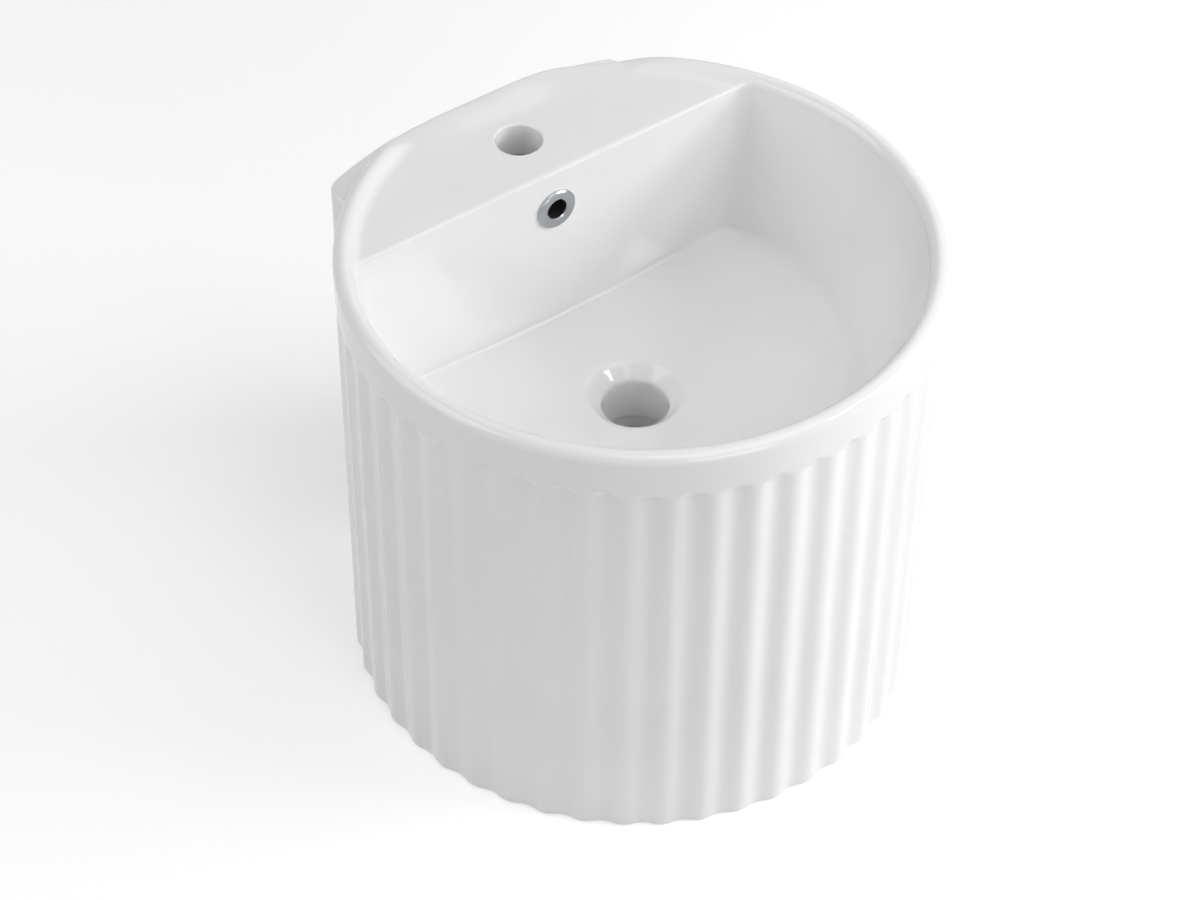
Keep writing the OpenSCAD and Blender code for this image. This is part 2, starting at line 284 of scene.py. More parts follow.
# closes collapsed rows, turns faces outwards, shades smooth with sharp edges
def cleanUp(piece, merge=2e-6, sharpAngle=35):
    bm = bmesh.new()
    bm.from_mesh(piece.data)
    bmesh.ops.remove_doubles(bm, verts=bm.verts, dist=merge)
    bmesh.ops.dissolve_degenerate(bm, edges=bm.edges, dist=merge)
    bmesh.ops.recalc_face_normals(bm, faces=bm.faces)
    bm.to_mesh(piece.data)
    bm.free()
    piece.data.shade_smooth()
    piece.data.set_sharp_from_angle(angle=math.radians(sharpAngle))


def gridFaces(rows, columns, closedRows=False):     # quads between rings of points
    faces = []
    for i in range(rows if closedRows else rows - 1):
        a = i * columns
        b = (i + 1) % rows * columns
        for j in range(columns):
            k = (j + 1) % columns
            faces.append((a + j, a + k, b + k, b + j))
    return faces


def applyModifiers(piece):
    graph = bpy.context.evaluated_depsgraph_get()
    baked = bpy.data.meshes.new_from_object(piece.evaluated_get(graph))
    piece.modifiers.clear()
    piece.data = baked


def combine(piece, tool, operation):     # joins or cuts one solid with another, then drops the tool
    modifier = piece.modifiers.new("cut", "BOOLEAN")
    modifier.operation = operation
    modifier.object = tool
    modifier.solver = "MANIFOLD"
    applyModifiers(piece)
    bpy.data.objects.remove(tool)


def filletProfile(corners, steps=5):     # outline with round corners, given as (radius, height, fillet)
    points = []
    count = len(corners)
    for i, (r, z, fillet) in enumerate(corners):
        here = Vector((r, z))
        if fillet == 0:
            points.append(here)
            continue
        before = (Vector(corners[i - 1][:2]) - here).normalized()
        after = (Vector(corners[(i + 1) % count][:2]) - here).normalized()
        half = before.angle(after) / 2
        middle = here + (before + after).normalized() * fillet / math.sin(half)
        start = here + before * fillet / math.tan(half) - middle
        end = here + after * fillet / math.tan(half) - middle
        sweep = start.angle_signed(end)
        for k in range(steps + 1):
            points.append(middle + Matrix.Rotation(-sweep * k / steps, 2) @ start)
    return [(p.x, p.y) for p in points]


def around(centre, r, turn, depth):     # a point beside a line parallel to Y, depth runs to the front
    cx, cy, cz = centre
    return (cx + r * math.cos(turn)) * mm, (cy - depth) * mm, (cz + r * math.sin(turn)) * mm


def turned(profile, centres, steps=96):     # turns a closed outline about lines parallel to Y
    verts = []
    faces = []
    for centre in centres:
        first = len(verts)
        for r, depth in profile:
            verts += [around(centre, r, 2 * math.pi * j / steps, depth) for j in range(steps)]
        faces += [tuple(first + i for i in f) for f in gridFaces(len(profile), steps, True)]
    return verts, faces


def prismFaces(count):     # both ends and all sides of a prism whose outline has so many corners
    faces = [tuple(range(count))[::-1], tuple(range(count, 2 * count))]
    faces += [(i, (i + 1) % count, count + (i + 1) % count, count + i) for i in range(count)]
    return faces


# Basin body, in millimetres from the drum axis and the top of the rim

basin = {
    "lipWidth": 13.0,
    "bandHeight": 29.0,
    "ledgeDrop": 5.0,
    "ledgeFront": 95.0,
    "ledgeEdge": 1.8,     # round along the front edge of the ledge
    "rearRise": 2.8,     # the ledge comes up a little towards the middle of its rear edge
    "riseFrom": 150.0, "riseRun": 38.0,     # from here backwards, over this length
    "riseHalf": 85.0, "riseFade": 65.0,     # none left this far to the side, fading over this width
    "backLean": 2.5,     # how far the back wall comes forward at its foot
    "lipGone": (38.0, 84.0),     # left and right of the middle, the lip has sunk into the ledge up to here
    "lipFull": (86.0, 134.0),     # and stands at its full height from here on
    "lipSink": 8.0,
    "lipBlend": 6.0,     # soft hollow between lip and ledge
    "blendFrom": 8.0, "blendRun": 8.0,     # below this depth it turns into the corners' round
    "cornerTop": 7.0,     # round of the bowl's two upright corners
    "cornerFoot": 9.0,
    "cornerFrom": 15.0, "cornerRun": 113.0,     # below this depth it grows, over this height
    "flutes": 46,
    "fluteDepth": 2.8,
    "crestInset": 0.2,
    "grooveStart": 28.6,
    "grooveArch": 2.6,     # how much lower a groove starts at its sides than in its middle
    "grooveRamp": 6.0,
    "sideTop": 7.5,
    "sideSlope": 0.208,     # how fast the round of the bowl gets smaller with depth
    "sideShift": 0.225,     # how fast its centre moves back, so the front wall leans most
    "sideScale": 0.96,     # turns a level distance into one square to these leaning walls
    "bowlDepth": 137.0,
    "floorRise": 9.0,
    "footRound": 9.0,
    "backFootRound": 3.5,
    "footFrom": 88.0, "footRun": 50.0,     # from here forwards one round turns into the other
    "recessRadius": 33.0,
    "recessDepth": 10.0,
    "recessEdge": 1.9,
    "recessScale": 0.707,     # turns a level distance into one square to its slope of 45 degrees
    "wasteRadius": 23.0,
    "wasteEdge": 1.2,
    "wasteBore": 34.0,
    "boreStep": 1.2,     # the bore widens a little here
    "bossTail": 19.0,     # the boss runs on this far below the step
    "wasteBack": 3.0,
    "blockHalf": 121.0,
    "blockRound": 12.0,
    "blockDepth": 15.0,     # within the drum's round it only fills this much in front of the wall
    "blockFrom": (66.0, 40.0),     # left and right of the middle, the shoulders start to fall here
    "shoulderDrop": 24.0,
    "shoulderPower": 1.4,
    "shoulderEdge": 2.5,
    "crease": 2.5,     # hollow where the block meets the drum
    "wallEdge": 1.5,
    "rearSpare": 2.0,     # drum and block run on this far behind the wall face, which cuts them flat
    "spareFrom": 10.0, "spareRun": 10.0,     # below this depth
    "rearBlend": 5.0,     # softens the upright edges where the drum runs into the wall plane
    "standEdge": 3.0,
    "skirtWall": 12.0,
    "veeDrop": 52.0,     # skirt and bowl part here, seen from below
    "veeSlope": 0.05,
    "bowlWall": 10.0,
    "shellStretch": 1.034,     # level thickness of the leaning wall for one millimetre square to it
    "bossWall": 11.0,
    "ledgeThick": 12.0,
    "backWall": 14.0,
    "footRow": 126.0,     # the floor's points end where the bowl's walls are at this depth
    "bandRows": (14, 22, 26.5),     # depths of the rows of points on the band
    "grooveRows": (27.2, 37.5),     # between these the rows are dense, because the grooves start there
}
lipRadius = basin["lipWidth"] / 2
lipMiddle = rimRadius - lipRadius
mouthRadius = rimRadius - basin["lipWidth"]
boreTop = -basin["bowlDepth"] - basin["recessDepth"]
boreEnd = boreTop - basin["wasteBore"]
bossFoot = boreEnd - basin["bossTail"]
flatRadius = 139.0     # the floor has come up by floorRise here


def roundMax(a, b, k):     # common part of two solids, its edge rounded by k
    return np.minimum(np.maximum(a, b), -k) + np.hypot(np.maximum(a + k, 0), np.maximum(b + k, 0))


def roundMin(a, b, k):     # two solids joined, with a hollow fillet of radius k
    return -roundMax(-a, -b, k)


def soft(t):
    t = np.clip(t, 0, 1)
    return t * t * (3 - 2 * t)


def sideRadius(z):     # inside of the bowl, which gets smaller below the lip
    return mouthRadius + np.minimum(z + basin["sideTop"], 0) * basin["sideSlope"]


def sideBack(z):     # how far behind the drum's axis the centre of that round lies
    return -np.minimum(z + basin["sideTop"], 0) * basin["sideShift"]


def backFace(z):     # upright back wall of the bowl
    depth = np.clip((-z - basin["ledgeDrop"]) / basin["bowlDepth"], 0, 2)
    return basin["ledgeFront"] - basin["backLean"] * depth


def floorHeight(r):
    out = np.clip((r - basin["recessRadius"]) / (flatRadius - basin["recessRadius"]), -0.5, 3)
    return -basin["bowlDepth"] + basin["floorRise"] * out


def ledgeHeight(x, y):
    back = soft((y - basin["riseFrom"]) / basin["riseRun"])
    middle = soft((basin["riseHalf"] - np.abs(x)) / basin["riseFade"])
    return -basin["ledgeDrop"] + basin["rearRise"] * back * middle


def shoulderHeight(x):
    start = np.where(x < 0, *basin["blockFrom"])
    t = np.clip((np.abs(x) - start) / (basin["blockHalf"] + 1 - start), 0, 1.2)
    top = basin["ledgeDrop"] + 1
    return -top - (basin["shoulderDrop"] - top) * t ** basin["shoulderPower"]


def lipCentreHeight(x, y):     # centre of the lip's round, which sinks towards the middle of the back
    gone, full = (np.where(x < 0, *basin[name]) for name in ("lipGone", "lipFull"))
    fade = soft((full - np.abs(x)) / (full - gone)) * (y > 0)
    return -lipRadius - basin["lipSink"] * fade


def drumRadius(turn, z):     # outside of the drum with its flutes
    wave = (1 - np.cos(basin["flutes"] * (turn + math.pi / 2))) / 2
    start = basin["grooveStart"] + basin["grooveArch"] * (1 - wave)
    ramp = soft((-z - start) / basin["grooveRamp"])
    inset = basin["crestInset"] * soft((-z - basin["bandHeight"] + 2) / 4)
    return rimRadius - inset - basin["fluteDepth"] * wave * ramp


def skin(p):     # distance to the basin's visible surface, negative in the ceramic
    x, y, z = p.T
    r = np.hypot(x, y)
    lipZ = lipCentreHeight(x, y)
    inner = np.where(z > lipZ, np.hypot(np.minimum(r - lipMiddle, 0), z - lipZ) - lipRadius,
                     (sideRadius(z) - np.hypot(x, y - sideBack(z))) * basin["sideScale"])
    ledgeZ = ledgeHeight(x, y)
    brimZ = np.maximum(lipZ, ledgeZ - lipRadius)
    outer = np.where(z > brimZ, np.hypot(np.maximum(r - lipMiddle, 0), z - brimZ) - lipRadius,
                     r - drumRadius(np.arctan2(y, x), z))
    rear = y - wallAt - basin["rearSpare"] * soft((-z - basin["spareFrom"]) / basin["spareRun"])
    outer = roundMax(outer, rear, basin["rearBlend"])
    ledge = roundMax(z - ledgeZ, backFace(z) - y, basin["ledgeEdge"])
    below = soft((-z - basin["blendFrom"]) / basin["blendRun"])
    down = np.clip((-z - basin["cornerFrom"]) / basin["cornerRun"], 0, 1)
    corner = (basin["lipBlend"] + (basin["cornerTop"] - basin["lipBlend"]) * below
              + (basin["cornerFoot"] - basin["cornerTop"]) * down)
    walls = roundMin(inner, ledge, corner)
    ahead = soft((basin["footFrom"] - y) / basin["footRun"])
    foot = basin["backFootRound"] + (basin["footRound"] - basin["backFootRound"]) * ahead
    shape = np.maximum(roundMin(walls, z - floorHeight(r), foot), outer)
    block = roundMax(np.abs(x) - basin["blockHalf"], rear, basin["blockRound"])
    block = roundMax(block, z - shoulderHeight(x), basin["shoulderEdge"])
    inDrum = np.minimum(lipMiddle + 1 - r, wallAt - basin["blockDepth"] - y)
    block = np.maximum(block, np.maximum(inDrum, -y))
    shape = roundMin(shape, block, basin["crease"])
    shape = roundMax(shape, y - wallAt, basin["wallEdge"])
    shape = roundMax(shape, -drumHeight - z, basin["standEdge"])
    fromWaste = np.hypot(x, y - basin["wasteBack"])
    cone = (fromWaste - basin["wasteRadius"] - (z - boreTop)
            * (basin["recessRadius"] - basin["wasteRadius"]) / basin["recessDepth"]) * basin["recessScale"]
    space = roundMin(cone, fromWaste - basin["wasteRadius"], basin["wasteEdge"])
    space = np.maximum(space, z + basin["bowlDepth"] - basin["recessDepth"])
    return roundMax(shape, -space, basin["recessEdge"])


def settle(points, steps=6):     # moves points along the slope until they lie on the skin
    h = 0.004
    for _ in range(steps):
        d = skin(points)
        slope = np.stack([(skin(points + np.eye(3)[k] * h) - skin(points - np.eye(3)[k] * h)) / (2 * h)
                          for k in range(3)], 1)
        size = np.maximum((slope ** 2).sum(1), 0.25)
        move = -slope * (d / size)[:, None]
        length = np.maximum(np.linalg.norm(move, axis=1), 1e-9)
        points = points + move * np.minimum(1, 4 / length)[:, None]
    return points


def onRay(radius, back, c, s):     # along a ray from the axis, a circle whose centre lies behind the axis
    return back * s + np.sqrt(np.maximum(radius ** 2 - (back * c) ** 2, 0))


# rings from a to b, closer together at the ends that ask for it
def rowsBetween(a, b, steps, near=0.0, far=0.0):
    t = np.linspace(0, 1, steps + 1)
    if near and far:
        t = t + (1 - np.cos(math.pi * t) - 2 * t) / 2 * near
    elif near:
        t = t ** (1 + near)
    elif far:
        t = 1 - (1 - t) ** (1 + far)
    return [(a[0] + (b[0] - a[0]) * k, a[1] + (b[1] - a[1]) * k) for k in t[1:]]


def basinRings():
    turn = 2 * math.pi * np.arange(basin["flutes"] * 16) / (basin["flutes"] * 16) - math.pi / 2
    c = np.cos(turn)
    s = np.sin(turn)
    ac = np.maximum(np.abs(c), 1e-6)
    behind = s > 0.01
    safe = np.where(behind, s, 1.0)
    flat = np.zeros_like(c)

    def upTo(radius, plane):     # a radius, cut back by an upright plane across the drum
        return np.where(behind, np.minimum(radius, plane / safe), radius)

    def level(z):
        return flat + z

    bore = onRay(basin["wasteRadius"], basin["wasteBack"], c, s)
    recess = onRay(basin["recessRadius"], basin["wasteBack"], c, s)
    footZ = -basin["footRow"]
    footR = upTo(onRay(sideRadius(footZ), sideBack(footZ), c, s), backFace(footZ))
    wallR = upTo(flat + mouthRadius, basin["ledgeFront"])
    back = wallR < mouthRadius - 0.01
    edgeR = upTo(flat + rimRadius, wallAt)
    ledgeEnd = np.where(back, np.minimum(mouthRadius, edgeR - 1.5), wallR)
    wallZ = np.where(back, -basin["ledgeDrop"], -lipRadius)

    visible = [(bore, level(boreEnd + 3))]
    visible += rowsBetween((bore, level(boreEnd + 3)), (bore, level(boreTop)), 7, far=0.6)
    visible += rowsBetween(visible[-1], (recess, level(-basin["bowlDepth"])), 10, near=0.6, far=0.6)
    visible += rowsBetween(visible[-1], (footR, floorHeight(footR)), 26, near=0.8, far=0.8)
    visible += rowsBetween(visible[-1], (wallR, wallZ), 34, near=1.0, far=1.0)
    visible += rowsBetween(visible[-1], (ledgeEnd, wallZ), 18, near=0.9, far=0.9)
    lipZ = lipCentreHeight(lipMiddle * c, lipMiddle * s)
    for k in range(1, 21):
        a = math.pi * (1 - k / 20)
        out = (1 + math.cos(a)) / 2
        r = ledgeEnd + (edgeR - ledgeEnd) * out
        z = lipZ + lipRadius * math.sin(a)
        z = np.where(back, np.maximum(z, -basin["ledgeDrop"] if k < 20 else -lipRadius), z)
        visible.append((r, z))
    blockR = np.where(behind, np.minimum(basin["blockHalf"] / ac, wallAt / safe), 0)
    isBlock = blockR > edgeR + 0.01
    outerR = np.where(isBlock, blockR, edgeR)
    bandTop, bandMiddle, bandFoot = basin["bandRows"]
    creaseZ = np.where(isBlock, np.minimum(shoulderHeight(edgeR * c), -lipRadius - 0.3), -bandTop)
    brinkZ = np.where(isBlock, np.minimum(shoulderHeight(blockR * c), -lipRadius - 0.6), -bandMiddle)
    visible += rowsBetween(visible[-1], (edgeR, creaseZ), 5)
    visible += rowsBetween(visible[-1], (outerR, brinkZ), 9, near=0.7, far=0.7)
    visible += rowsBetween(visible[-1], (outerR, level(-bandFoot)), 5, near=0.6)
    grooveTop, grooveFoot = basin["grooveRows"]
    visible += [(outerR, level(z)) for z in np.linspace(-grooveTop, -grooveFoot, 15)]
    visible += rowsBetween(visible[-1], (outerR, level(-drumHeight + 4)), 10)
    visible += [(outerR, level(-drumHeight + z)) for z in (3, 2.2, 1.4, 0.7, 0)]
    visible += [(outerR - step, level(-drumHeight)) for step in (0.7, 1.4, 2.2, 3, 4)]
    points = np.stack([np.stack([r * c, r * s, z + flat], 1) for r, z in visible])
    count = points.shape[0]
    points = settle(points.reshape(-1, 3)).reshape(count, len(c), 3)

    # hidden rings: inside of skirt and block, ceiling, outside of the bowl, boss
    shellLevel = basin["bowlWall"] * basin["shellStretch"]
    inR = flat + rimRadius - basin["skirtWall"]
    boxR = np.where(behind, basin["blockHalf"] - basin["skirtWall"], 0) / ac
    innerR = upTo(np.maximum(inR, boxR), wallAt - basin["backWall"])
    ceiling = -basin["ledgeDrop"] - basin["ledgeThick"]
    blockCeiling = -basin["shoulderDrop"] - basin["ledgeThick"]
    shellPlane = basin["ledgeFront"] + basin["bowlWall"]
    vee = level(-basin["veeDrop"])
    isOpen = upTo(flat + 2 * rimRadius, shellPlane) < inR - 0.2     # room between shell and skirt
    drumCeilR = np.minimum(innerR, inR)
    ceilZ = np.where(isOpen, ceiling, vee)
    lowZ = np.where(isOpen & (innerR > inR + 0.01), blockCeiling, ceilZ)
    hidden = [(innerR + 1.2, level(-drumHeight)), (innerR, level(-drumHeight + 1.2))]
    hidden += rowsBetween(hidden[-1], (innerR, lowZ), 5)
    hidden += rowsBetween(hidden[-1], (drumCeilR, lowZ), 2)
    hidden += rowsBetween(hidden[-1], (drumCeilR, ceilZ), 2)

    def shell(z):
        outside = onRay(sideRadius(z) + shellLevel, sideBack(z), c, s)
        return upTo(np.minimum(outside, inR + (z + basin["veeDrop"]) * basin["veeSlope"]), shellPlane)

    hidden += rowsBetween(hidden[-1], (np.minimum(shell(ceilZ), drumCeilR), ceilZ), 3)
    footTop = -basin["bowlDepth"] + basin["floorRise"] + basin["footRound"]
    for k in range(1, 8):
        z = ceilZ + (footTop - ceilZ) * k / 7
        hidden.append((np.minimum(shell(z), drumCeilR), z))
    grown = basin["footRound"] + basin["bowlWall"]
    footCentre = onRay(sideRadius(footTop), sideBack(footTop), c, s) - basin["footRound"]
    for k in range(1, 9):
        a = math.radians(-14 - 76 * k / 8)     # from the wall's lean round to straight down
        turnUnder = np.minimum(footCentre + grown * math.cos(a), shell(footTop))
        hidden.append((upTo(turnUnder, shellPlane), level(footTop + grown * math.sin(a))))
    boss = onRay(basin["wasteRadius"] + basin["bossWall"], basin["wasteBack"], c, s)
    hidden += rowsBetween(hidden[-1], (boss, level(-basin["bowlDepth"] - basin["bowlWall"])), 4)
    hidden += rowsBetween(hidden[-1], (boss, level(bossFoot + 1)), 3)
    wide = bore + basin["boreStep"]
    hidden += [(boss - 1, level(bossFoot)), (wide + 1, level(bossFoot)), (wide, level(bossFoot + 1)),
               (wide, level(boreEnd - basin["boreStep"])), (bore + 0.3, level(boreEnd - 0.2)),
               (bore, level(boreEnd + 0.3))]
    under = np.stack([np.stack([r * c, r * s, z + flat], 1) for r, z in hidden])
    return np.concatenate([points, under])


def toPart(points):     # drum millimetres to the part's metres
    return np.asarray(points) * mm + np.array(drumOrigin)


holes = {
    "tapRadius": 16.0, "tapBack": 137.0, "tapEdge": 1.2,
    "overflowRadius": 11.5, "overflowDrop": 36.0,
    "ductWidth": 28.0, "ductGap": 8.0, "ductWall": 5.0, "ductTop": 20.5, "ductSlot": 4.0,
    "ductCap": 7.0,     # ceramic above the channel's upper end
    "ductBite": 2.0,     # how far it goes into the bowl's wall
    "ductFall": 4.0,     # under the recess before it turns forward
    "collarWall": 7.0, "collarDepth": 26.0,     # thick edge of the tap hole under the ledge
    "boltDrop": 110.0, "boltSpacing": 150.0, "boltHole": 9.25, "boltEdge": 0.6,
    "notchWidth": 130.0, "notchHeight": 150.0,
    "tapReach": 40.0, "boltReach": 20.0,     # how deep their cutters go
    "spare": 3.0,     # cutters stand out of the surface by this much
}


# goes down behind the bowl, then forward and down to the bore
def ductSolid(name, wall, top, front, material):
    half = holes["ductWidth"] / 2 + wall
    bowlRear = basin["ledgeFront"] + basin["bowlWall"] - holes["ductBite"]
    rear = basin["ledgeFront"] + basin["bowlWall"] + holes["ductGap"] + wall
    bend = boreTop - holes["ductGap"] - holes["ductFall"]
    slot = bossFoot + holes["ductWall"]
    boss = basin["wasteBack"] + basin["wasteRadius"] + basin["bossWall"]
    nose = basin["wasteBack"] + front
    outline = [(bowlRear, top), (bowlRear, bend + holes["ductGap"] + wall),
               (boss, slot + holes["ductSlot"] + wall), (nose, slot + holes["ductSlot"] + wall),
               (nose, slot - wall), (boss, slot - wall), (rear, bend - wall), (rear, top)]
    verts = toPart([(x, y, z) for x in (-half, half) for y, z in outline])
    duct = newObject(name, verts, prismFaces(len(outline)), material)
    cleanUp(duct)
    return duct


# turned cutter or collar, its profile given as (radius, distance along the axis)
def holeTool(name, profile, centre, axis, material, steps=96):
    centre = np.array(centre)
    axis = np.array(axis, float)
    across = np.array((1.0, 0, 0)) if abs(axis[0]) < 0.5 else np.array((0, 1.0, 0))
    other = np.cross(axis, across)
    points = []
    for r, along in profile:
        for j in range(steps):
            a = 2 * math.pi * j / steps
            points.append(centre + axis * along + r * (across * math.cos(a) + other * math.sin(a)))
    faces = gridFaces(len(profile), steps)
    faces += [tuple(range(steps))[::-1], tuple(range((len(profile) - 1) * steps, len(profile) * steps))]
    tool = newObject(name, toPart(points), faces, material)
    cleanUp(tool)
    return tool


def flare(radius, edge, inner, outer, steps=7):     # straight hole whose mouth opens in a round edge
    points = [(radius, inner)]
    for k in range(steps + 1):
        a = math.pi / 2 * k / steps
        points.append((radius + edge * (1 - math.cos(a)), -edge + edge * math.sin(a)))
    return points + [(radius + edge, outer)]


def notchTool(material):
    half = holes["notchWidth"] / 2
    spring = -drumHeight + holes["notchHeight"] - half
    arch = [(half * math.cos(a), spring + half * math.sin(a)) for a in np.linspace(0, math.pi, 49)]
    spare = 4
    below = -drumHeight - spare - 1
    outline = [(half, below)] + arch + [(-half, below)]
    near = wallAt - basin["backWall"] - spare
    verts = toPart([(x, y, z) for y in (near, wallAt + spare) for x, z in outline])
    tool = newObject("notchTool", verts, prismFaces(len(outline)), material)
    cleanUp(tool)
    return tool


def makeBasin(material):
    rings = basinRings()
    rows, columns = rings.shape[:2]
    faces = gridFaces(rows, columns, True)
    piece = newObject("fluted_basin", toPart(rings.reshape(-1, 3)), faces, material)
    cleanUp(piece, 1.5e-5)
    print("basin rings", rows, columns, len(piece.data.polygons))
    boreWall = basin["wasteRadius"] + basin["bossWall"] / 2
    casingTop = -holes["ductTop"] + holes["ductCap"]
    casing = ductSolid("casing", holes["ductWall"], casingTop, boreWall, material)
    combine(piece, casing, "UNION")
    collarRadius = holes["tapRadius"] + holes["collarWall"]
    collarFoot = -basin["ledgeDrop"] - holes["collarDepth"]
    collar = holeTool("collar", [(collarRadius - 2, collarFoot), (collarRadius, collarFoot + 2),
                                 (collarRadius, -basin["ledgeDrop"] - 4)],
                      (0, holes["tapBack"], 0), (0, 0, 1), material)
    combine(piece, collar, "UNION")
    tools = [ductSolid("channel", 0, -holes["ductTop"], basin["wasteRadius"] / 2, material)]
    overflowProfile = [(holes["overflowRadius"], -basin["bowlWall"] - holes["ductGap"] / 2),
                       (holes["overflowRadius"], holes["spare"])]
    tools.append(holeTool("overflowTool", overflowProfile,
                          (0, basin["ledgeFront"], -holes["overflowDrop"]), (0, -1, 0), material))
    tapProfile = flare(holes["tapRadius"], holes["tapEdge"], -holes["tapReach"], holes["spare"])
    tools.append(holeTool("tapTool", tapProfile,
                          (0, holes["tapBack"], -basin["ledgeDrop"]), (0, 0, 1), material))
    boltProfile = flare(holes["boltHole"], holes["boltEdge"], -holes["boltReach"], holes["spare"])
    for side in (-1, 1):
        centre = (side * holes["boltSpacing"] / 2, wallAt, -holes["boltDrop"])
        tools.append(holeTool("boltTool", boltProfile, centre, (0, 1, 0), material))
    tools.append(notchTool(material))
    for tool in tools:
        combine(piece, tool, "DIFFERENCE")
    cleanUp(piece, 1e-6)
    print("basin faces", len(piece.data.polygons))
    return piece


def finishPiece(piece, node):
    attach(piece, "root")
    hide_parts(node)


basinGlaze = glazeFinish()
finishPiece(makeBasin(basinGlaze), "basin_body")
print("basin body done")


# Overflow ring and its sleeve, turned about the overflow hole

sleeveLow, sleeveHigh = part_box("overflow_sleeve")
overflow = {
    "centre": (0.0, ringHigh.y / mm, (ringLow.z + ringHigh.z) / 2 / mm),
    "outer": (ringHigh.x - ringLow.x) / 2 / mm,
    "hole": 7.5,
    "tube": 9.0,
    "proud": 3.0,
    "length": (ringHigh.y - ringLow.y) / mm,
    "sleeveGap": 0.2,
    "sleeveWall": 2.1,
    "barbStart": 2,
    "barbEnd": 3,
}


def makeTrimRing(material):
    face = overflow["length"]     # depths run forward from the tube's rear end
    flange = face - overflow["proud"]
    profile = filletProfile([
        (overflow["hole"] + 0.15, 0, 0.2), (overflow["tube"], 0, 0.3), (overflow["tube"], flange, 0.2),
        (overflow["outer"], flange, 0.25), (overflow["outer"], face - 1.0, 0.3),
        (overflow["outer"] - 1.1, face, 0.4), (overflow["hole"] + 1.2, face - 0.3, 0.25),
        (overflow["hole"], face - 1.0, 0.3)], 6)
    return newObject("overflow_ring", *turned(profile, [overflow["centre"]], 128), material)


def makeSleeve(material):
    centre = (0.0, sleeveHigh.y / mm, overflow["centre"][2])
    length = (sleeveHigh.y - sleeveLow.y) / mm
    barb = (sleeveHigh.x - sleeveLow.x) / 2 / mm
    inner = overflow["tube"] + overflow["sleeveGap"]
    outer = inner + overflow["sleeveWall"]
    profile = filletProfile([
        (inner, 0, 0.3), (outer, 0, 0.5), (barb, overflow["barbStart"], 0.2),
        (barb, overflow["barbEnd"], 0.1), (outer, overflow["barbEnd"], 0.1),
        (outer, length, 0.3), (inner, length, 0.3)], 4)
    return newObject("overflow_snap_sleeve", *turned(profile, [centre]), material)


for maker, material, node, slotName in (
        (makeTrimRing, chromeFinish(), "overflow_trim_ring", "chrome_trim"),
        (makeSleeve, mouldedFinish("darkMouldedPlastic", darkPlastic), "overflow_sleeve", "dark_plastic")):
    piece = maker(material)
    cleanUp(piece, 1e-7, 50)
    finishPiece(piece, node)
print("overflow pieces done")


# Wall fixings: depths run from the wall face towards the front

boltLow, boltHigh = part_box("wall_bolts")
fixing = {
    "bolt": (boltHigh.z - boltLow.z) / 2 / mm,
    "half": (boltHigh.x - boltLow.x) / 2 / mm,
    "end": -boltLow.y / mm,
    "into": boltHigh.y / mm,
    "thread": 4.6,
    "threadDepth": 0.75,
    "pitch": 1.5,
    "chamfer": 0.9,     # at the thread's front end
    "neckLength": 3,
    "neckCut": 0.25,
    "screwDepth": 1.1,
    "screwFlank": 1.6,     # how steep the wood screw thread's flanks are
    "screwPitch": 4.5,
    "point": 8.0,
    "pointRadius": 0.4,
    "holePlay": 0.1,
    "nutChamfer": 0.4,
    "nutSink": 0.6,     # countersink on both faces of a nut
    "rowGaps": (0.3, 0.125),     # between rows of points on the wood screw and on the thread
    "nutRows": (0.25, 0.5, 0.8, 1.2, 1.7),     # depths of the rows that shape its coned corners
    "nutSlope": 1.73,     # the cone rises at 60 degrees
    "bushTube": 9.0,
    "capWall": 1.5,
}
boltX = fixing["half"] - fixing["bolt"]
boltCentres = [(-boltX, 0.0, 0.0), (boltX, 0.0, 0.0)]
threadHole = fixing["thread"] + fixing["holePlay"]


def nodeDepths(node):     # where a node starts and ends, measured out of the wall, and its outer radius
    low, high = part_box(node)
    return -high.y / mm, -low.y / mm, (high.z - low.z) / 2 / mm


def ridgeAt(depth, turn, pitch):     # 0 on a thread's crest, 1 at its root
    return abs((depth / pitch - turn / 2 / math.pi) % 1 - 0.5) * 2


def boltRadius(depth, turn):     # wood screw thread into the wall, plain neck, machine thread for the nut
    if depth < -fixing["neckLength"]:
        ridge = ridgeAt(depth, turn, fixing["screwPitch"])
        r = fixing["bolt"] - fixing["screwDepth"] * min(1, ridge * fixing["screwFlank"])
        tip = fixing["pointRadius"] + (depth + fixing["into"]) * fixing["bolt"] / fixing["point"]
        return min(r, tip)
    if depth < 0:
        return fixing["bolt"] - fixing["neckCut"]
    r = fixing["thread"] - fixing["threadDepth"] * ridgeAt(depth, turn, fixing["pitch"])
    return min(r, fixing["thread"] - fixing["chamfer"] + (fixing["end"] - depth))


def makeBolts(material):
    steps = 40
    turns = [2 * math.pi * j / steps for j in range(steps)]
    verts = []
    faces = []
    screwGap, threadGap = fixing["rowGaps"]
    depths = list(np.arange(-fixing["into"], 0, screwGap)) + list(np.arange(0, fixing["end"], threadGap))
    depths.append(fixing["end"])
    for centre in boltCentres:
        first = len(verts)
        for depth in depths:
            verts += [around(centre, boltRadius(depth, turn), turn, depth) for turn in turns]
        faces += [tuple(first + i for i in f) for f in gridFaces(len(depths), steps)]
        faces.append(tuple(range(first, first + steps)))
        faces.append(tuple(range(len(verts) - steps, len(verts)))[::-1])
    return newObject("hanger_bolts", verts, faces, material)


def turnedPair(name, corners, material):
    return newObject(name, *turned(filletProfile(corners), boltCentres, 72), material)


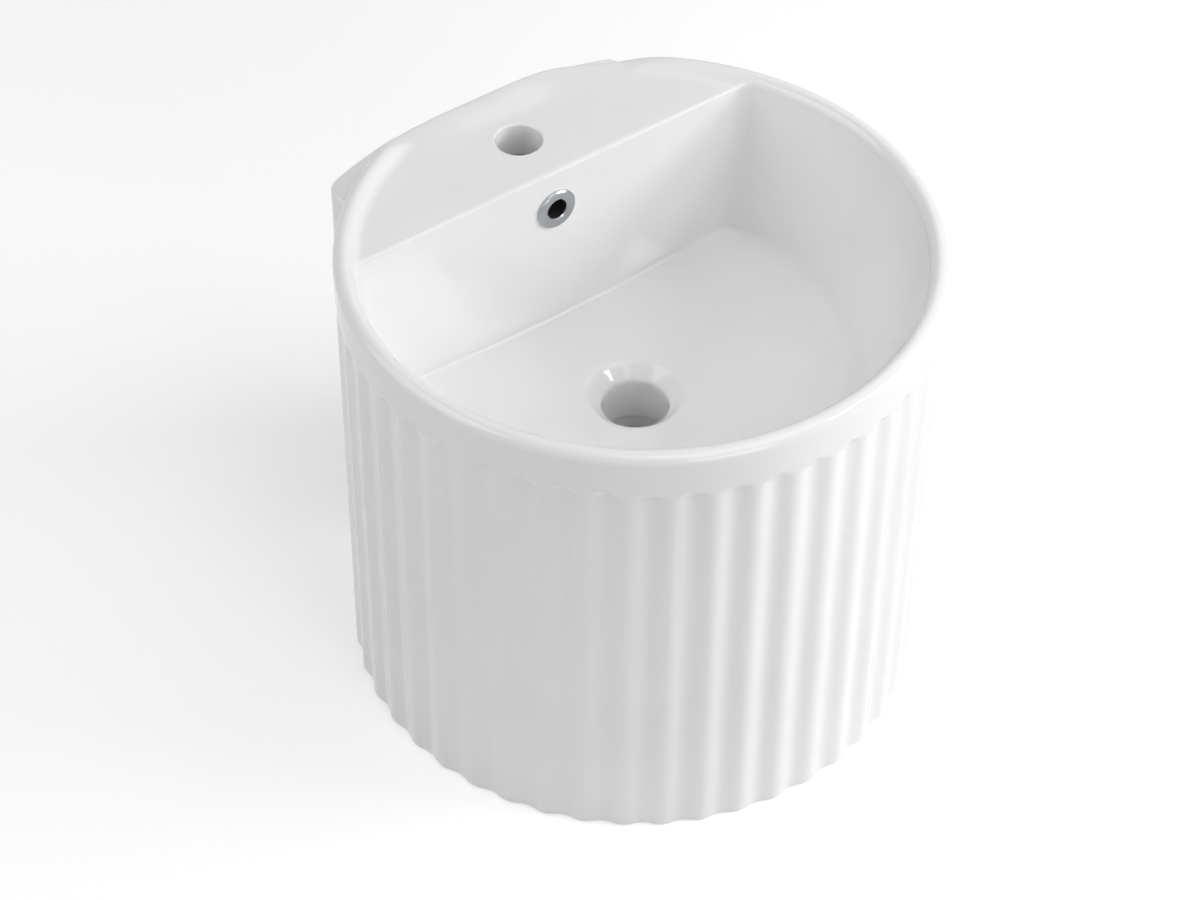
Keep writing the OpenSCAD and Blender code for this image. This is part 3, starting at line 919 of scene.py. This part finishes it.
def makeBushes(material):
    start, end, flange = nodeDepths("bolt_bushes")
    tube = fixing["bushTube"]
    seat = nodeDepths("soft_washers")[1]
    return turnedPair("nylon_bushes", [
        (threadHole, start, 0.3), (tube, start, 0.8), (tube, seat, 0.3), (flange, seat, 0.4),
        (flange, end, 0.9), (threadHole, end, 0.4)], material)


def makeSoftWashers(material):
    start, end, outer = nodeDepths("soft_washers")
    return turnedPair("rubber_washers", [
        (holes["boltHole"], start, 0.4), (outer, start, 0.6), (outer, end, 0.6),
        (holes["boltHole"], end, 0.4)], material)


def makeSteelWashers(material):
    start, end, outer = nodeDepths("steel_washers")
    return turnedPair("plain_washers", [
        (threadHole, start, 0.2), (outer, start, 0.15), (outer, end, 0.6),
        (threadHole, end, 0.2)], material)


def makeNuts(material):     # hexagon with coned corners
    start, end, half = nodeDepths("hex_nuts")
    height = end - start
    steps = 96
    angles = [2 * math.pi * j / steps for j in range(steps)]
    hexagon = [half / math.cos((a - math.pi / 6) % (math.pi / 3) - math.pi / 6) for a in angles]
    faceRadius = half - fixing["nutChamfer"]
    sink = fixing["nutSink"]
    rows = [(0, threadHole + sink), (0, faceRadius)]
    rows += [(d, None) for d in fixing["nutRows"]]     # None stands for the hexagon
    rows += [(height - d, None) for d in fixing["nutRows"][::-1]]
    rows += [(height, faceRadius), (height, threadHole + sink),
             (height - sink, threadHole), (sink, threadHole)]
    verts = []
    faces = []
    for centre in boltCentres:
        first = len(verts)
        for along, radius in rows:
            cone = faceRadius + min(along, height - along) * fixing["nutSlope"]
            for a, corner in zip(angles, hexagon):
                r = min(corner, cone) if radius is None else radius
                verts.append(around(centre, r, a, start + along))
        faces += [tuple(first + i for i in f) for f in gridFaces(len(rows), steps, True)]
    return newObject("hexagon_nuts", verts, faces, material)


def makeCaps(material):
    start, end, outer = nodeDepths("nut_caps")
    wall = fixing["capWall"]
    inner = outer - wall
    return turnedPair("screw_caps", [
        (inner, start, 0.3), (outer, start, 0.4), (outer, end - wall, 1.4), (inner - 1, end, 2.5),
        (0.02, end, 0), (0.02, end - wall, 0), (inner - wall, end - wall, 1.0),
        (inner, end - 2 * wall, 0.8)], material)


zincSteel = zincFinish()
for maker, material, node, slotName in (
        (makeBolts, zincSteel, "wall_bolts", "zinc_steel"),
        (makeBushes, mouldedFinish("naturalNylon", nylon), "bolt_bushes", "nylon"),
        (makeSoftWashers, rubberFinish(), "soft_washers", "soft_rubber"),
        (makeSteelWashers, zincSteel, "steel_washers", "zinc_steel"),
        (makeNuts, zincSteel, "hex_nuts", "zinc_steel"),
        (makeCaps, mouldedFinish("whiteCapPlastic", capPlastic), "nut_caps", "cap_plastic")):
    piece = maker(material)
    cleanUp(piece, 1e-7, 40)
    finishPiece(piece, node)
print("wall fixings done")


# Studio

studio = {
    "floorSize": 14.0,
    "floorGap": 0.0002,     # the floor lies this far under the basin
    "floorColor": (0.86, 0.86, 0.86),
    "floorShade": 0.995, "floorCloud": (3.0, 2.0),
    "floorRough": 0.9,
    "floorLift": 0.35,     # light that only the camera and mirror-like reflections see on the floor
    "farLift": 0.6,     # more of it far from the basin, where the lamps fade
    "farRange": (0.4, 3.0),
    "world": 0.06,
    "lampRange": 2.2,
    "lampAim": (0, -0.17, 0),
}
# name, watts, direction round the basin and rise above the floor in degrees, width and height in metres
lamps = (
    ("windowLamp", 6.0, -51, 35, 0.45, 0.3),
    ("softKey", 17.0, -33, 23, 0.7, 0.6),
    ("skyLamp", 14.5, -80, 65, 1.6, 1.6),
    ("frontLamp", 8.5, -98, 15, 1.0, 0.9),
    ("rightLamp", 6.5, 20, 42, 1.8, 1.8),
    ("rearLamp", 14.5, 155, 30, 1.8, 1.5),
    ("rearStrip", 5.0, 153, 53, 1.7, 0.16),
)


def seenRays(w):     # 1 for the camera and for clear reflections, 0 for soft light
    seen = w.add("ShaderNodeLightPath", out="Is Camera Ray")
    for kind in ("Is Glossy Ray", "Is Transmission Ray"):
        seen = w.maths("MAXIMUM", seen, w.add("ShaderNodeLightPath", out=kind))
    return seen


def makeFloor():
    half = studio["floorSize"] / 2
    z = cadBox[0].z - studio["floorGap"]
    material, w = newFinish("paleFloor")
    cloud = w.noise(*studio["floorCloud"])
    shade = tuple(studio["floorShade"] * c for c in studio["floorColor"])
    color = w.tint(cloud, shade, studio["floorColor"])
    body = w.surface(Base_Color=color, Roughness=studio["floorRough"])
    place = w.add("ShaderNodeNewGeometry", out="Position")
    away = w.add("ShaderNodeVectorMath", {"operation": "LENGTH"}, {0: place}, "Value")
    glow = studio["floorLift"] + away.between(*studio["farRange"]) * studio["farLift"]
    lift = w.add("ShaderNodeEmission", {}, {"Color": (1, 1, 1, 1), "Strength": seenRays(w) * glow})
    w.finish(w.add("ShaderNodeAddShader", {}, {0: body, 1: lift}))
    verts = [(-half, -half, z), (half, -half, z), (half, half, z), (-half, half, z)]
    floor = newObject("studio_floor", verts, [(0, 1, 2, 3)], material)


def makeWorld():
    world = bpy.data.worlds.new("studioWorld")
    bpy.context.scene.world = world
    world.use_nodes = True
    world.node_tree.nodes.clear()
    w = Wire(world.node_tree)
    strength = studio["world"] + seenRays(w) * (1 - studio["world"])
    shade = w.add("ShaderNodeBackground", {}, {"Color": (1, 1, 1, 1), "Strength": strength})
    w.add("ShaderNodeOutputWorld", {}, {"Surface": shade})


def makeLamp(name, power, turn, rise, width, height):
    lamp = bpy.data.lights.new(name, "AREA")
    lamp.shape = "RECTANGLE"
    lamp.size, lamp.size_y = width, height
    lamp.energy = power
    turn, rise = math.radians(turn), math.radians(rise)
    away = Vector((math.cos(turn) * math.cos(rise), math.sin(turn) * math.cos(rise), math.sin(rise)))
    holder = bpy.data.objects.new(name, lamp)
    holder.location = Vector(studio["lampAim"]) + away * studio["lampRange"]
    holder.rotation_euler = away.to_track_quat("Z", "Y").to_euler()
    bpy.context.scene.collection.objects.link(holder)


camera = {
    "place": (-0.99472, -1.47073, 1.51938),
    "turn": -36.939, "rise": 44.588, "roll": 0.653,     # degrees
    "lens": 99.429, "sensor": 36.0,
    "clip": (0.05, 50.0),
}


def makeCamera():
    a, e, roll = (math.radians(camera[k]) for k in ("turn", "rise", "roll"))
    back = Vector((math.sin(a) * math.cos(e), -math.cos(a) * math.cos(e), math.sin(e)))
    right = Vector((math.cos(a), math.sin(a), 0))
    up = back.cross(right)
    tilted = math.cos(roll) * right + math.sin(roll) * up
    up = math.cos(roll) * up - math.sin(roll) * right
    data = bpy.data.cameras.new("photoCamera")
    data.sensor_width = camera["sensor"]
    data.lens = camera["lens"]
    data.clip_start, data.clip_end = camera["clip"]
    holder = bpy.data.objects.new("photoCamera", data)
    rotation = Matrix((tilted, up, back)).transposed().to_4x4()
    holder.matrix_world = Matrix.Translation(camera["place"]) @ rotation
    bpy.context.scene.collection.objects.link(holder)
    bpy.context.scene.camera = holder


makeFloor()
makeWorld()
for lampSettings in lamps:
    makeLamp(*lampSettings)
makeCamera()
bpy.context.scene.view_settings.view_transform = "Standard"
print("studio done")
